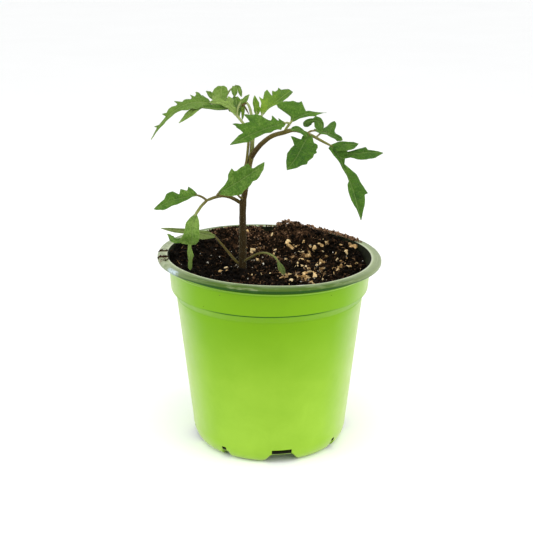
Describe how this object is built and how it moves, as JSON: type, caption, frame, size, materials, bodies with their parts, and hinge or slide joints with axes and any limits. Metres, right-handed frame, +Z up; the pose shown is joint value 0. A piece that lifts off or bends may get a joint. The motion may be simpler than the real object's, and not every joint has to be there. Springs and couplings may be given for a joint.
{
  "type": "potted tomato seedling",
  "caption": "Young tomato plant with lobed, toothed leaves on arching stalks, growing from dark soil in a round tapered nursery pot with a rolled rim.",
  "frame": {"origin": "centre of the pot's base, on the surface it stands on", "axes": "+Z up, -Y towards the front seen in the picture, +X to the right of that view"},
  "size_m": [0.1304, 0.13, 0.2085],
  "materials": {
    "pot_plastic": "satin",
    "soil": "matte",
    "stem": "matte",
    "leaf": "matte",
    "young_leaf": "matte",
    "cotyledon": "matte"
  },
  "bodies": {
    "root": {"pot": "pot_plastic", "potting_soil": "soil", "main_stem": "stem", "side_shoot": "stem", "leaf_lower_left": "leaf", "leaf_right": "leaf", "leaf_upper_left": "young_leaf", "leaf_upper_right": "young_leaf", "growing_tip": "young_leaf", "cotyledon_left": "cotyledon", "cotyledon_right": "cotyledon"}
  },
  "joints": []
}
